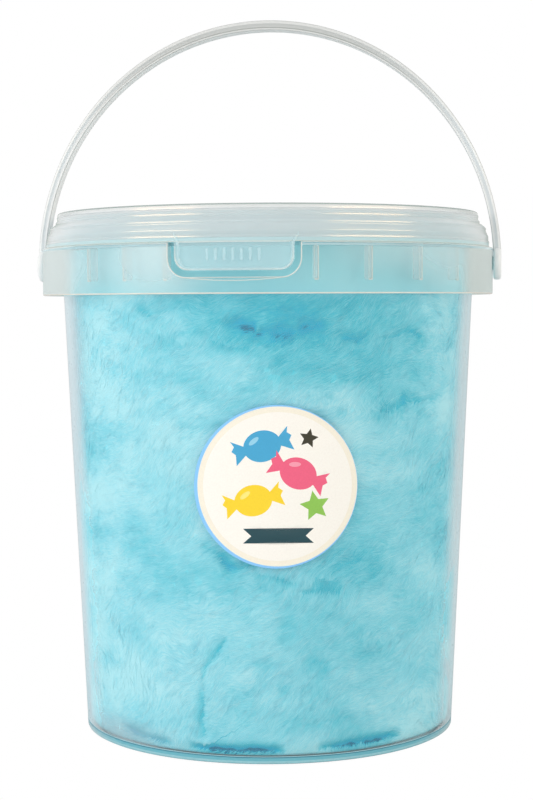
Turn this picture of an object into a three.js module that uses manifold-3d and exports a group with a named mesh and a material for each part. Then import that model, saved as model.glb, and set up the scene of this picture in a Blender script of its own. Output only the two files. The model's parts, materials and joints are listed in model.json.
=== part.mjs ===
// A tub of cotton candy: a tapered see-through tub with a collar under its rim, a press-on lid
// with a pull tab, a bail handle that swings over the lid, a round label and the candy itself.
// Lengths are in millimetres. The origin is the centre of the base and +Z is up. The pull tab
// faces -Y, so the handle turns about a line along X. Angles about Z count from the pull tab,
// positive towards +X.

import * as THREE from "three";
import { mergeVertices } from "three/addons/utils/BufferGeometryUtils.js";
import Module from "manifold-3d";

const wasm = await Module();
wasm.setup();

// Driving dimensions

const clearance = 0.3;
const aroundSteps = 60;

const baseRadius = 54.5;
const wallTaper = 0.0466;
const wallThickness = 1.2;
const floorTop = 2.3;
const footRise = 0.9;
const footWidth = 2;
const baseCorner = 1.7;
const neckHeight = 141;
const rimHeight = 149.5;
const beadReach = 1.55;
const beadHeight = 144.2;

const collarRadius = 66.5;
const collarThickness = 1.1;
const collarBottom = 127.4;
const flangeThickness = 0.8;
const ribBottom = 131.1;
const ribThickness = 1;
const ribReach = 3;
const ribAngles = [
  -162.5, -150.5, -138, -122, -107.5, -71, -55.5, -40.5, -28, -16.6,
  19.2, 32.5, 47, 61, 75, 107.5, 122, 138, 150.5, 162.5,
];

const lidTop = 151.3;
const lidRimRadius = 62.3;
const lidSkirtRadius = 65.5;
const lidShoulderRadius = 64.9;
const lidSkirtBottom = 141.3;
const lidThickness = 1;
const panelTop = 146.5;
const panelThickness = 1.2;

const notchHalfWidth = 17.8;
const notchBottom = 131.7;
const notchCorner = 5.2;
const tabHalfWidth = 16;
const tabBottom = 133.5;
const tabCorner = 3.8;
const tabRootHeight = 144.3;
const tabThickness = 1.1;
const tabBorder = 1.4;
const tabBorderRise = 0.5;
const gripBarCount = 7;
const gripBarPitch = 2.3;
const gripBarWidth = 0.9;
const gripBarBottom = 136.2;
const gripBarTop = 139.4;
const gripBarRise = 0.35;

const pivotHeight = 136.5;
const handleHalfWidth = 69.3;
const handleRise = 71.75;
const handleShift = -0.3;
const handleFootThickness = 2.3;
const handleTopThickness = 2.9;
const handleDepth = 4.8;
const handleGrooveDepth = 1.2;
const handleGrooveMargin = 0.75;
const handleGrooveStart = 7;
const archSteps = 28;
const eyeRadius = 4.9;
const pinRadius = 1.9;
const pinHoleRadius = 2.25;
const pinHeadRadius = 2.7;
const pinHeadOuter = 64.9;
const pinHeadInner = 63.4;

const labelAngle = 10;
const labelHeight = 76;
const labelRadius = 22;
const labelThickness = 0.3;
const labelGap = 0.1;

const candyBottom = floorTop + clearance;
const candyTop = panelTop - panelThickness - clearance;
const candyAroundSteps = 64;
const candySideSteps = 30;
const candyCapSteps = 3;
const candyBaseRound = 2;
const candyTopRound = 4;
const candyTopSag = 1;
const candyTopSwell = 0.8;
const candyEdgeSag = 1.2;

// Each fold in the candy runs along a line: where its middle is, its length, its slope in
// degrees, how far it sinks in and how wide it is.
const folds = [
  { angle: 8, height: 117, length: 24, slope: -12, depth: 3.4, width: 5 },
  { angle: 47, height: 116, length: 22, slope: -9, depth: 2.4, width: 4 },
  { angle: -23, height: 123, length: 18, slope: -12, depth: 1.8, width: 5 },
  { angle: 51, height: 97, length: 25, slope: 8, depth: 2.8, width: 4 },
  { angle: 26, height: 95.5, length: 12, slope: 13, depth: 1.8, width: 4 },
  { angle: -15, height: 89.5, length: 16, slope: -16, depth: 1.5, width: 5 },
  { angle: -5, height: 56, length: 20, slope: -23, depth: 3, width: 5 },
  { angle: 27, height: 49, length: 22, slope: -16, depth: 3, width: 5 },
  { angle: -34, height: 58, length: 14, slope: -3, depth: 1.6, width: 5 },
  { angle: -8.5, height: 30, length: 17, slope: 53, depth: 2.6, width: 4 },
  { angle: -12.3, height: 14, length: 22, slope: 89, depth: 3, width: 4 },
  { angle: 14.5, height: 37, length: 10, slope: -54, depth: 1.5, width: 5 },
];
const backFoldCount = 14;
const backFoldStart = 82;
const backFoldTurn = 61;
const backFoldSpan = 210;

const frosted = { color: 0xe4eceb, roughness: 0.35, metalness: 0, transparent: true, opacity: 0.5 };

// Solids

function solidFrom(geometry) {
  const bare = geometry.clone();
  bare.deleteAttribute("normal");
  bare.deleteAttribute("uv");
  const merged = mergeVertices(bare, 1e-4);
  const corners = merged.index.array;
  const kept = [];
  for (let i = 0; i < corners.length; i += 3) {
    const [a, b, c] = [corners[i], corners[i + 1], corners[i + 2]];
    if (a !== b && b !== c && c !== a) kept.push(a, b, c);
  }
  return new wasm.Manifold(new wasm.Mesh({
    numProp: 3,
    vertProperties: new Float32Array(merged.attributes.position.array),
    triVerts: new Uint32Array(kept),
  }));
}

function geometryFrom(solid) {
  const mesh = solid.getMesh();
  const geometry = new THREE.BufferGeometry();
  geometry.setAttribute("position", new THREE.BufferAttribute(mesh.vertProperties, 3));
  geometry.setIndex(new THREE.BufferAttribute(mesh.triVerts, 1));
  geometry.computeVertexNormals();
  return geometry;
}

function joined(solids) {
  return solids.reduce((whole, piece) => whole.add(piece));
}

// A turned solid. The profile lists [radius, height] up the outside and down the inside.
function turned(profile, closes) {
  const points = profile.map(([radius, height]) => new THREE.Vector2(radius, height));
  if (closes) points.push(points[0].clone());
  const geometry = new THREE.LatheGeometry(points, aroundSteps);
  geometry.rotateX(Math.PI / 2);
  return solidFrom(geometry);
}

// A shape drawn in X and Z, carried along Y from one depth to another, then turned about Z.
function standingPrism(shape, yStart, yEnd, angle = 0, curveSegments = 6) {
  const geometry = new THREE.ExtrudeGeometry(shape, {
    depth: yEnd - yStart,
    bevelEnabled: false,
    curveSegments,
  });
  geometry.rotateX(Math.PI / 2);
  geometry.translate(0, yEnd, 0);
  geometry.rotateZ(THREE.MathUtils.degToRad(angle));
  return solidFrom(geometry);
}

function rectangle(xLow, xHigh, zLow, zHigh) {
  return new THREE.Shape([
    new THREE.Vector2(xLow, zLow),
    new THREE.Vector2(xHigh, zLow),
    new THREE.Vector2(xHigh, zHigh),
    new THREE.Vector2(xLow, zHigh),
  ]);
}

// A tongue outline with straight sides, a flat top and two rounded lower corners.
function tongue(halfWidth, bottom, top, corner) {
  const shape = new THREE.Shape();
  shape.moveTo(-halfWidth, top);
  shape.lineTo(-halfWidth, bottom + corner);
  shape.absarc(-halfWidth + corner, bottom + corner, corner, Math.PI, 1.5 * Math.PI, false);
  shape.lineTo(halfWidth - corner, bottom);
  shape.absarc(halfWidth - corner, bottom + corner, corner, 1.5 * Math.PI, 2 * Math.PI, false);
  shape.lineTo(halfWidth, top);
  return shape;
}

function rodAlongX(radius, xStart, xEnd, steps) {
  const geometry = new THREE.CylinderGeometry(radius, radius, xEnd - xStart, steps);
  geometry.rotateZ(Math.PI / 2);
  geometry.translate((xStart + xEnd) / 2, 0, pivotHeight);
  return solidFrom(geometry);
}

function wallRadius(height) {
  return baseRadius + wallTaper * Math.min(height, neckHeight);
}

// Tub

const neckRadius = wallRadius(neckHeight);

// The bead that holds the lid, as steps of [outward, upward] from the neck at its height.
const beadSection = [[0, -1.2], [beadReach, -0.6], [beadReach, 0.4], [0, 1.8]];

function tubBody() {
  const rimRound = 0.35;
  const collarRound = 0.6;
  const floorRound = 2;
  const footInner = baseRadius - baseCorner - footWidth;
  const flangeBottom = neckHeight - flangeThickness;
  const skirtInner = collarRadius - collarThickness;
  const innerNeck = neckRadius - wallThickness;
  const cornerSteps = 3;
  const profile = [[0, footRise], [footInner - footRise, footRise], [footInner, 0]];
  for (let i = 0; i <= cornerSteps; i += 1) {
    const turn = (i / cornerSteps) * Math.PI / 2;
    profile.push([
      wallRadius(baseCorner) - baseCorner + baseCorner * Math.sin(turn),
      baseCorner - baseCorner * Math.cos(turn),
    ]);
  }
  profile.push(
    [wallRadius(flangeBottom), flangeBottom],
    [skirtInner, flangeBottom],
    [skirtInner, collarBottom],
    [collarRadius, collarBottom],
    [collarRadius, neckHeight - collarRound],
    [collarRadius - collarRound, neckHeight],
    [neckRadius, neckHeight],
    ...beadSection.map(([outward, upward]) => [neckRadius + outward, beadHeight + upward]),
    [neckRadius, rimHeight - rimRound],
    [neckRadius - rimRound, rimHeight],
    [innerNeck + rimRound, rimHeight],
    [innerNeck, rimHeight - rimRound],
    [innerNeck, neckHeight],
    [wallRadius(floorTop + floorRound) - wallThickness, floorTop + floorRound],
    [wallRadius(floorTop) - wallThickness - floorRound, floorTop],
    [0, floorTop],
  );
  return turned(profile, false);
}

// One stiffening web inside the collar, under the flange.
function collarRib(angle) {
  const top = neckHeight - flangeThickness / 2;
  const outline = rectangle(-ribThickness / 2, ribThickness / 2, ribBottom, top);
  const outer = collarRadius - collarThickness / 2;
  return standingPrism(outline, -outer, ribReach + collarThickness / 2 - outer, angle);
}

function tubGeometry() {
  const ribs = ribAngles.map(collarRib);
  const notchOutline = tongue(notchHalfWidth, notchBottom, neckHeight + 1, notchCorner);
  const notch = standingPrism(notchOutline, -collarRadius - 2, -neckRadius - 0.9);
  const pinHoles = [-1, 1].map((side) => {
    const [inner, outer] = [pinHeadInner + 1, collarRadius + 1];
    return side > 0
      ? rodAlongX(pinHoleRadius, inner, outer, 20)
      : rodAlongX(pinHoleRadius, -outer, -inner, 20);
  });
  const body = joined([tubBody(), ...ribs]).subtract(notch);
  return geometryFrom(pinHoles.reduce((whole, hole) => whole.subtract(hole), body));
}

// Lid

// The lid's shoulder as [radius, height], from above the skirt's lower edge to below the rim.
const lidShoulder = [
  [lidSkirtRadius, lidSkirtBottom + 1.1],
  [lidShoulderRadius, tabRootHeight + 0.3],
  [64.0, 146.5],
  [lidRimRadius + 0.3, 148.4],
  [lidRimRadius, 148.9],
];

// The skirt's inner side from the channel down to the lip that snaps under the tub's bead, as
// steps of [inward, upward] from the skirt's inner lower edge.
const lidSkirtInside = [[0.9, 3.7], [0.9, 2.4], [1.9, 1.7], [1.9, 1.1], [0, 0]];

function lidShell() {
  const skirtInner = lidSkirtRadius - lidThickness;
  const channelOuter = neckRadius + clearance;
  const plugOuter = neckRadius - wallThickness - clearance;
  const plugInner = plugOuter - lidThickness;
  const channelTop = lidTop - 1.2;
  const channelMouth = 148.3;
  const panelBottom = panelTop - panelThickness;
  const stepRadius = 50;
  const stepRise = 0.6;
  const rimRound = 0.7;
  const draft = 0.2;
  return turned([
    [0, panelBottom + stepRise],
    [stepRadius - 1, panelBottom + stepRise],
    [stepRadius, panelBottom],
    [plugOuter - rimRound, panelBottom],
    [plugOuter, panelBottom + rimRound],
    [plugOuter, channelTop],
    [channelOuter, channelTop],
    [channelOuter, channelMouth],
    ...lidSkirtInside.map(([inward, upward]) => [skirtInner - inward, lidSkirtBottom + upward]),
    [lidSkirtRadius - 0.1, lidSkirtBottom],
    ...lidShoulder,
    [lidRimRadius, lidTop - rimRound],
    [lidRimRadius - rimRound, lidTop],
    [plugInner + rimRound, lidTop],
    [plugInner, lidTop - rimRound],
    [plugInner - draft, panelTop],
    [stepRadius, panelTop],
    [stepRadius - 1, panelTop + stepRise],
    [0, panelTop + stepRise],
  ], false);
}

// The pull tab hangs in the collar's notch: a curved plate with a raised border that climbs the
// lid's shoulder on both sides, and a row of short upright grip bars.
function pullTab() {
  const plateOuter = collarRadius - tabBorderRise;
  const plateInner = plateOuter - tabThickness;
  const borderOuter = plateOuter + tabBorderRise;
  const skirtMiddle = lidSkirtRadius - lidThickness / 2;
  const borderInside = skirtMiddle - 0.2;
  const front = -collarRadius - 3;
  const back = -neckRadius;
  const plateTop = lidSkirtBottom + 0.9;
  const plateRound = 0.5;
  const below = tabBottom - 1;
  const bend = lidSkirtBottom - 0.8;
  const plateRing = turned([
    [plateInner, below],
    [plateOuter, below],
    [plateOuter, plateTop - plateRound],
    [plateOuter - plateRound, plateTop],
    [skirtMiddle, plateTop],
    [skirtMiddle, lidSkirtBottom - 0.2],
    [plateInner, bend],
  ], true);
  const borderRing = turned([
    [plateInner, below],
    [borderOuter, below],
    [borderOuter, plateTop - plateRound],
    [lidShoulderRadius, tabRootHeight],
    [borderInside, tabRootHeight - 0.6],
    [borderInside, lidSkirtBottom + 0.1],
    [plateInner, bend],
  ], true);
  const outline = tongue(tabHalfWidth, tabBottom, tabRootHeight + 1, tabCorner);
  const inside = tongue(
    tabHalfWidth - tabBorder,
    tabBottom + tabBorder,
    tabRootHeight + 2,
    tabCorner - tabBorder / 2,
  );
  const plate = plateRing.intersect(standingPrism(outline, front, back));
  const border = borderRing
    .intersect(standingPrism(outline, front, back))
    .subtract(standingPrism(inside, front - 1, back + 1));
  const barInner = plateInner + 0.3;
  const barOuter = plateOuter + gripBarRise;
  const barRing = turned([
    [barInner, gripBarBottom - 1],
    [barOuter, gripBarBottom - 1],
    [barOuter, gripBarTop + 1],
    [barInner, gripBarTop + 1],
  ], true);
  const bars = Array.from({ length: gripBarCount }, (_, i) => {
    const middle = (i - (gripBarCount - 1) / 2) * gripBarPitch;
    const half = gripBarWidth / 2;
    const bar = rectangle(middle - half, middle + half, gripBarBottom, gripBarTop);
    return barRing.intersect(standingPrism(bar, front, back));
  });
  return joined([plate, border, ...bars]);
}

function lidGeometry() {
  return geometryFrom(lidShell().add(pullTab()));
}

// Handle

// The band between two half ellipses about the pivots, between two angles from the +X side.
function archBand(outer, inner, startAngle, endAngle) {
  const [start, end] = [startAngle, endAngle].map(THREE.MathUtils.degToRad);
  const shape = new THREE.Shape();
  shape.absellipse(0, pivotHeight, outer.halfWidth, outer.rise, start, end, false);
  shape.absellipse(0, pivotHeight, inner.halfWidth, inner.rise, end, start, true);
  return shape;
}

function handleGeometry() {
  const outer = { halfWidth: handleHalfWidth, rise: handleRise };
  const inner = {
    halfWidth: handleHalfWidth - handleFootThickness,
    rise: handleRise - handleTopThickness,
  };
  const halfDepth = handleDepth / 2;
  const arch = standingPrism(archBand(outer, inner, 0, 180), -halfDepth, halfDepth, 0, archSteps);
  const grooveBand = archBand(
    { halfWidth: outer.halfWidth - handleGrooveMargin, rise: outer.rise - handleGrooveMargin },
    { halfWidth: inner.halfWidth + handleGrooveMargin, rise: inner.rise + handleGrooveMargin },
    handleGrooveStart,
    180 - handleGrooveStart,
  );
  const grooveFloor = halfDepth - handleGrooveDepth;
  const grooves = [
    standingPrism(grooveBand, grooveFloor, halfDepth + 1, 0, archSteps),
    standingPrism(grooveBand, -halfDepth - 1, -grooveFloor, 0, archSteps),
  ];
  const ends = [-1, 1].flatMap((side) => [
    [eyeRadius, handleHalfWidth - handleFootThickness, handleHalfWidth, 24],
    [pinRadius, pinHeadInner + 0.2, handleHalfWidth - 0.5, 16],
    [pinHeadRadius, pinHeadInner, pinHeadOuter, 16],
  ].map(([radius, near, far, steps]) => (
    side > 0 ? rodAlongX(radius, near, far, steps) : rodAlongX(radius, -far, -near, steps)
  )));
  const bars = joined([arch, ...ends]);
  const geometry = geometryFrom(grooves.reduce((whole, groove) => whole.subtract(groove), bars));
  return geometry.translate(handleShift, 0, 0);
}

// Label

function labelGeometry() {
  const [low, high] = [labelHeight - labelRadius - 1, labelHeight + labelRadius + 1];
  const skin = turned([
    [wallRadius(low) + labelGap, low],
    [wallRadius(low) + labelGap + labelThickness, low],
    [wallRadius(high) + labelGap + labelThickness, high],
    [wallRadius(high) + labelGap, high],
  ], true);
  const disc = new THREE.Shape();
  disc.absarc(0, labelHeight, labelRadius, 0, 2 * Math.PI, false);
  return geometryFrom(skin.intersect(standingPrism(disc, -baseRadius * 1.2, -30, labelAngle, 24)));
}

// Candy

// How far a fold sinks in at a place on the wall: full along its line, fading at its ends.
function foldDepth(fold, angle, height) {
  let turn = angle - fold.angle;
  turn -= 360 * Math.round(turn / 360);
  const across = THREE.MathUtils.degToRad(turn) * wallRadius(fold.height);
  const up = height - fold.height;
  const slope = THREE.MathUtils.degToRad(fold.slope);
  const along = across * Math.cos(slope) + up * Math.sin(slope);
  const bow = 0.08 * fold.length * Math.sin(Math.PI * along / fold.length);
  const aside = up * Math.cos(slope) - across * Math.sin(slope) - bow;
  const end = (2 * along) / fold.length;
  const side = aside / (fold.width / 2);
  return fold.depth * Math.exp(-(end ** 4)) * Math.exp(-(side ** 2));
}

// Folds round the rest of the tub, spread by a fixed turn so that none line up.
function backFolds() {
  return Array.from({ length: backFoldCount }, (_, i) => ({
    angle: backFoldStart + ((i * backFoldTurn) % backFoldSpan),
    height: 16 + (i * 112) / (backFoldCount - 1),
    length: 18 + 3 * (i % 4),
    slope: -20 + 11 * (i % 5),
    depth: 1.8 + 0.5 * (i % 3),
    width: 4 + 0.5 * (i % 3),
  }));
}

const allFolds = [...folds, ...backFolds()];

// The slow swell of the pressed floss between its folds.
function swell(angle, height) {
  const turn = THREE.MathUtils.degToRad(angle);
  return 0.25 * (1 + Math.sin(3 * turn + height / 13) * Math.cos(2 * turn - height / 19))
    + 0.15 * (1 + Math.sin(7 * turn - height / 7));
}

function sideSink(angle, height) {
  return swell(angle, height)
    + allFolds.reduce((sum, fold) => sum + foldDepth(fold, angle, height), 0);
}

// A point on the candy's skin: row 0 is the middle of the underside, the last row the middle
// of the top.
function candyPoint(row, angle) {
  const lastRow = candySideSteps + 2 * candyCapSteps;
  const turn = THREE.MathUtils.degToRad(angle);
  const topRow = row - candyCapSteps - candySideSteps;
  let radius;
  let height;
  if (row < candyCapSteps) {
    radius = (wallRadius(candyBottom) - wallThickness - candyBaseRound) * (row / candyCapSteps);
    height = candyBottom;
  } else if (topRow > 0) {
    const inward = (lastRow - row) / candyCapSteps;
    radius = (wallRadius(candyTop) - wallThickness - candyTopRound) * inward;
    height = candyTop - candyTopSag + candyTopSwell * inward * Math.sin(3 * turn + 4 * inward);
  } else {
    const share = (row - candyCapSteps) / candySideSteps;
    height = candyBottom + (candyTop - candyBottom) * share;
    const nearBase = Math.max(0, 1 - (height - candyBottom) / candyBaseRound);
    const nearTop = Math.max(0, 1 - (candyTop - height) / candyTopRound);
    const rounding = candyBaseRound * nearBase ** 2 + candyTopRound * nearTop ** 3;
    radius = wallRadius(height) - wallThickness - clearance - rounding;
    radius -= sideSink(angle, height) * (1 - nearBase) * (1 - nearTop);
    height -= candyEdgeSag * nearTop * (1 + Math.sin(5 * turn)) / 2;
  }
  return [radius * Math.sin(turn), -radius * Math.cos(turn), height];
}

function candyGeometry() {
  const rows = candySideSteps + 2 * candyCapSteps;
  const positions = [];
  for (let row = 0; row <= rows; row += 1) {
    for (let step = 0; step < candyAroundSteps; step += 1) {
      positions.push(...candyPoint(row, (360 * step) / candyAroundSteps));
    }
  }
  const index = [];
  for (let row = 0; row < rows; row += 1) {
    for (let step = 0; step < candyAroundSteps; step += 1) {
      const next = (step + 1) % candyAroundSteps;
      const [a, b] = [row * candyAroundSteps + step, row * candyAroundSteps + next];
      const [c, d] = [b + candyAroundSteps, a + candyAroundSteps];
      index.push(a, b, c, a, c, d);
    }
  }
  const geometry = new THREE.BufferGeometry();
  geometry.setAttribute("position", new THREE.Float32BufferAttribute(positions, 3));
  geometry.setIndex(index);
  return geometryFrom(solidFrom(geometry));
}

// The whole

function piece(name, geometry, look) {
  const mesh = new THREE.Mesh(geometry, new THREE.MeshStandardMaterial(look));
  mesh.name = name;
  return mesh;
}

const tubOfCottonCandy = new THREE.Group();
tubOfCottonCandy.add(
  piece("tub", tubGeometry(), frosted),
  piece("lid", lidGeometry(), { ...frosted, opacity: 0.6 }),
  piece("handle", handleGeometry(), { ...frosted, opacity: 0.8 }),
  piece("cotton_candy", candyGeometry(), { color: 0x8edde8, roughness: 1, metalness: 0 }),
  piece("label", labelGeometry(), { color: 0xfff9ec, roughness: 0.4, metalness: 0 }),
);

export default tubOfCottonCandy;
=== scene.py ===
"""A see-through tub of pale blue cotton candy with a press-on lid, a bail handle and a label.

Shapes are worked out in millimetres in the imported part's frame: the origin is the centre of the
base, +Z is up, the lid's pull tab faces -Y and the handle turns about a line along X. Angles
about Z count from the pull tab, positive towards +X.
"""

import json
import math
from itertools import product

import bmesh
import bpy
import numpy as np
from mathutils import Matrix, Vector
from mathutils.geometry import delaunay_2d_cdt


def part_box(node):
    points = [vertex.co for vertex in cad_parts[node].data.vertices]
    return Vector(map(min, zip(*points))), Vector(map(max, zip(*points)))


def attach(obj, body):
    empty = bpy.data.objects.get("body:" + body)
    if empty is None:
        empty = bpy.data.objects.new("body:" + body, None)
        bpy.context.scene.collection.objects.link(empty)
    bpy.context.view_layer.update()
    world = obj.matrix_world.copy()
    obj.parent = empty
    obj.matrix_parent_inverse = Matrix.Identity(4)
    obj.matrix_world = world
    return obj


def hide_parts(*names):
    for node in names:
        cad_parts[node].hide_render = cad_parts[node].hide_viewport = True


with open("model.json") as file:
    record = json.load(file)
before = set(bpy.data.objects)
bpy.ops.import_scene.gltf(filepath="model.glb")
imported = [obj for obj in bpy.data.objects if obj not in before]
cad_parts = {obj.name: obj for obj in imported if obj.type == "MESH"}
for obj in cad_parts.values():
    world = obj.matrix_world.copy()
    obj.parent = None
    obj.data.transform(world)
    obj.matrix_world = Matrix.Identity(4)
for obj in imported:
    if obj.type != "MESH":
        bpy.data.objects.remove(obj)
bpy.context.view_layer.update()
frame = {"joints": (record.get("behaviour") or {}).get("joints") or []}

MM = 0.001

# Sizes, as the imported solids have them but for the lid's skirt, which reaches 0.24 mm lower

BASE_RADIUS = 54.5
WALL_TAPER = 0.0466
WALL = 1.2
FLOOR_TOP = 2.3
BASE_STRIPE = 1.05
FLOOR_LINE = 1.88
FLOOR_LINE_WIDTH = 0.26
FOOT_RISE = 0.9
BASE_CORNER = 1.7
NECK_HEIGHT = 141.0
RIM_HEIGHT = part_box("tub")[1].z / MM
COLLAR_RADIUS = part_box("tub")[1].x / MM
COLLAR_BOTTOM = 127.4
COLLAR_THICKNESS = 1.1
FLANGE_THICKNESS = 0.8
BEAD_REACH = 1.55
RIB_BOTTOM = 131.1
RIB_THICKNESS = 1.0
RIB_REACH = 3.0
RIB_END_RADIUS = COLLAR_RADIUS - COLLAR_THICKNESS - 0.02
BACK_RIB_ANGLES = (107.5, 122, 138, 150.5, 162.5)
FRONT_RIB_ANGLES = (-71, -55.5, -40.5, -28, -16.6, 19.2, 32.5, 47, 61, 75)

LID_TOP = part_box("lid")[1].z / MM
LID_RIM_RADIUS = 62.3
LID_SKIRT_RADIUS = 65.5
LID_SKIRT_BOTTOM = 141.06
PANEL_TOP = 146.5
PANEL_THICKNESS = 1.2

NOTCH_HALF_WIDTH = 17.8
NOTCH_BOTTOM = 131.7
NOTCH_CORNER = 5.2
TAB_HALF_WIDTH = 16.0
TAB_BOTTOM = 133.5
TAB_CORNER = 3.8
TAB_ROOT = 144.3
TAB_FLARE = 1.6
TAB_FLARE_BOTTOM = 140.3
TAB_LEFT_SHARE = 0.955

PIVOT_HEIGHT = frame["joints"][0]["pos_m"][2] / MM
handle_low, handle_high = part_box("handle")
HANDLE_HALF_WIDTH = (handle_high.x - handle_low.x) / 2 / MM
HANDLE_SHIFT = (handle_high.x + handle_low.x) / 2 / MM
HANDLE_RISE = handle_high.z / MM - PIVOT_HEIGHT
HANDLE_FOOT = 2.3
HANDLE_TOP = 2.9
HANDLE_DEPTH = 4.8
GROOVE_DEPTH = 0.16
EYE_RADIUS = 4.9
PIN_RADIUS = 1.9
PIN_HEAD_RADIUS = 2.7
PIN_END = 63.4
PIN_HEAD_OUTSIDE = 64.9

LABEL_ANGLE = 10.0
LABEL_HEIGHT = 76.0
LABEL_RADIUS = 22.0
LABEL_GAP = 0.1
LABEL_THICKNESS = 0.3


# Shapes


def mesh_object(name, points, faces, sharp_angle=35):
    """An object from points in millimetres and faces, smooth but for its sharp edges. With a
    sharp angle of 0 all its faces are flat."""
    mesh = bpy.data.meshes.new(name)
    mesh.from_pydata((np.asarray(points, float) * MM).tolist(), [], faces)
    mesh.update()
    if sharp_angle > 0:
        mesh.shade_smooth()
        mesh.set_sharp_from_angle(angle=math.radians(sharp_angle))
    made = bpy.data.objects.new(name, mesh)
    bpy.context.scene.collection.objects.link(made)
    return made


def joined(parts):
    """Several (points, faces) parts as one."""
    points, faces = [], []
    for part_points, part_faces in parts:
        shift = len(points)
        points.extend(np.asarray(part_points).tolist())
        faces.extend([tuple(i + shift for i in face) for face in part_faces])
    return points, faces


def rounded(corners, steps=4):
    """The outline through corners of (a, b, rounding), each cut to a small curve."""
    outline = []
    count = len(corners)
    for i, (a, b, size) in enumerate(corners):
        here = np.array((a, b))
        if size == 0:
            outline.append(here)
            continue
        before = np.array(corners[i - 1][:2]) - here
        after = np.array(corners[(i + 1) % count][:2]) - here
        start = here + before * min(0.48, size / np.linalg.norm(before))
        end = here + after * min(0.48, size / np.linalg.norm(after))
        for t in np.linspace(0, 1, steps + 1):
            outline.append((1 - t) ** 2 * start + 2 * t * (1 - t) * here + t * t * end)
    return np.array(outline)


def revolved(outline, steps=240):
    """An outline of (radius, height), up the outside and down the inside, turned about Z. It
    closes on itself, through a single point where it starts and ends on the axis."""
    turns = np.linspace(0, 2 * math.pi, steps, endpoint=False)
    points, rings = [], []
    for radius, height in outline:
        if radius < 1e-6:
            rings.append([len(points)] * steps)
            points.append((0.0, 0.0, height))
        else:
            rings.append(list(range(len(points), len(points) + steps)))
            points.extend((radius * math.cos(t), radius * math.sin(t), height) for t in turns)
    faces = []
    for j, ring in enumerate(rings):
        above = rings[(j + 1) % len(rings)]
        if ring[0] == ring[1] and above[0] == above[1]:
            continue
        for i in range(steps):
            corners = (ring[i], ring[(i + 1) % steps], above[(i + 1) % steps], above[i])
            faces.append(tuple(dict.fromkeys(corners)))
    return points, faces


def tube_faces(rings, count):
    """The faces of a tube through rings of points: its two ends, and then its sides."""
    last = (rings - 1) * count
    faces = [tuple(range(count))[::-1], tuple(range(last, last + count))]
    for ring in range(0, last, count):
        for i in range(count):
            k = (i + 1) % count
            faces.append((ring + i, ring + k, ring + count + k, ring + count + i))
    return faces


def flipped(faces):
    """Faces that look the other way."""
    return [face[::-1] for face in faces]


def swept(path, sides, across, section):
    """A section of (out, side) carried along a path, with flat ends. At each point of the path
    sides gives the way that out points and across the way that side points."""
    section = np.asarray(section, float)
    rings = path[:, None, :] + section[None, :, :1] * sides[:, None, :]
    rings = rings + section[None, :, 1:] * across[:, None, :]
    return rings.reshape(-1, 3), tube_faces(len(path), len(section))


def circle(radius, steps=10):
    """Points round a circle."""
    turns = np.linspace(0, 2 * math.pi, steps, endpoint=False)
    return radius * np.column_stack((np.cos(turns), np.sin(turns)))


def tongue_outline(half_width, bottom, top, corner, steps=8):
    """A U of points from the top left down round the two lower corners to the top right."""
    points = [(-half_width, top)]
    for side, first in ((-1, math.pi), (1, 1.5 * math.pi)):
        for t in np.linspace(first, first + math.pi / 2, steps):
            middle = side * (half_width - corner)
            points.append((middle + corner * math.cos(t), bottom + corner + corner * math.sin(t)))
    points.append((half_width, top))
    return np.array(points)


def wall_radius(height):
    """The wall's outer radius at a height."""
    return BASE_RADIUS + WALL_TAPER * np.minimum(height, NECK_HEIGHT)


def round_axis(turn, radius, height):
    """Places round the tub's axis, at angles in radians from the pull tab."""
    return np.column_stack((radius * np.sin(turn), -radius * np.cos(turn), height))


def on_cylinder(across, height, radius):
    """Points that stand in front of a drawing in X and Z, moved along Y onto a cylinder."""
    across = np.asarray(across, float)
    return np.column_stack((across, -np.sqrt(radius**2 - across**2), height))


def ridge(across, height, radius, thickness, steps=10, taper=None):
    """A round bead that follows a line drawn on a cylinder, thinner where taper is under 1."""
    path = on_cylinder(across, height, radius)
    along = np.gradient(path, axis=0)
    along /= np.linalg.norm(along, axis=1)[:, None]
    out = path * (1, 1, 0)
    out /= np.linalg.norm(out, axis=1)[:, None]
    side = np.cross(along, out)
    if taper is not None:
        out, side = out * taper[:, None], side * taper[:, None]
    return swept(path, out, side, circle(thickness / 2, steps))


def marked(piece, plastics, *marks):
    """Gives faces their plastics by marks of (plastic, radius from, to, height from, to). Where
    marks overlap, the last one counts."""
    names = list(plastics)
    for face in piece.data.polygons:
        x, y, z = face.center / MM
        radius = math.hypot(x, y)
        for name, inner, outer, bottom, top in marks:
            if inner <= radius <= outer and bottom <= z <= top:
                face.material_index = names.index(name)


def cut(piece, cutter):
    """Takes the cutter's shape out of a piece, and the cutter out of the scene."""
    boolean = piece.modifiers.new("cut", "BOOLEAN")
    boolean.operation = "DIFFERENCE"
    boolean.solver = "EXACT"
    boolean.object = cutter
    bpy.context.view_layer.update()
    graph = bpy.context.evaluated_depsgraph_get()
    mesh = bpy.data.meshes.new_from_object(piece.evaluated_get(graph))
    piece.modifiers.clear()
    piece.data = mesh
    bpy.data.objects.remove(cutter)


def prism(outline, back, front):
    """A closed outline in X and Z as a solid between two places on Y."""
    points = [(x, y, z) for y in (front, back) for x, z in outline]
    return points, flipped(tube_faces(2, len(outline)))


def box_part(low, high, rounding):
    """A box with rounded edges, as a part."""
    bm = bmesh.new()
    bmesh.ops.create_cube(bm, size=1)
    low, high = np.array(low, float), np.array(high, float)
    for v in bm.verts:
        v.co = Vector((np.array(v.co) + 0.5) * (high - low) + low)
    bmesh.ops.bevel(bm, geom=bm.edges[:], offset=rounding, segments=2, affect="EDGES")
    bm.verts.index_update()
    part = [tuple(v.co) for v in bm.verts], [tuple(v.index for v in f.verts) for f in bm.faces]
    bm.free()
    return part


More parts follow.
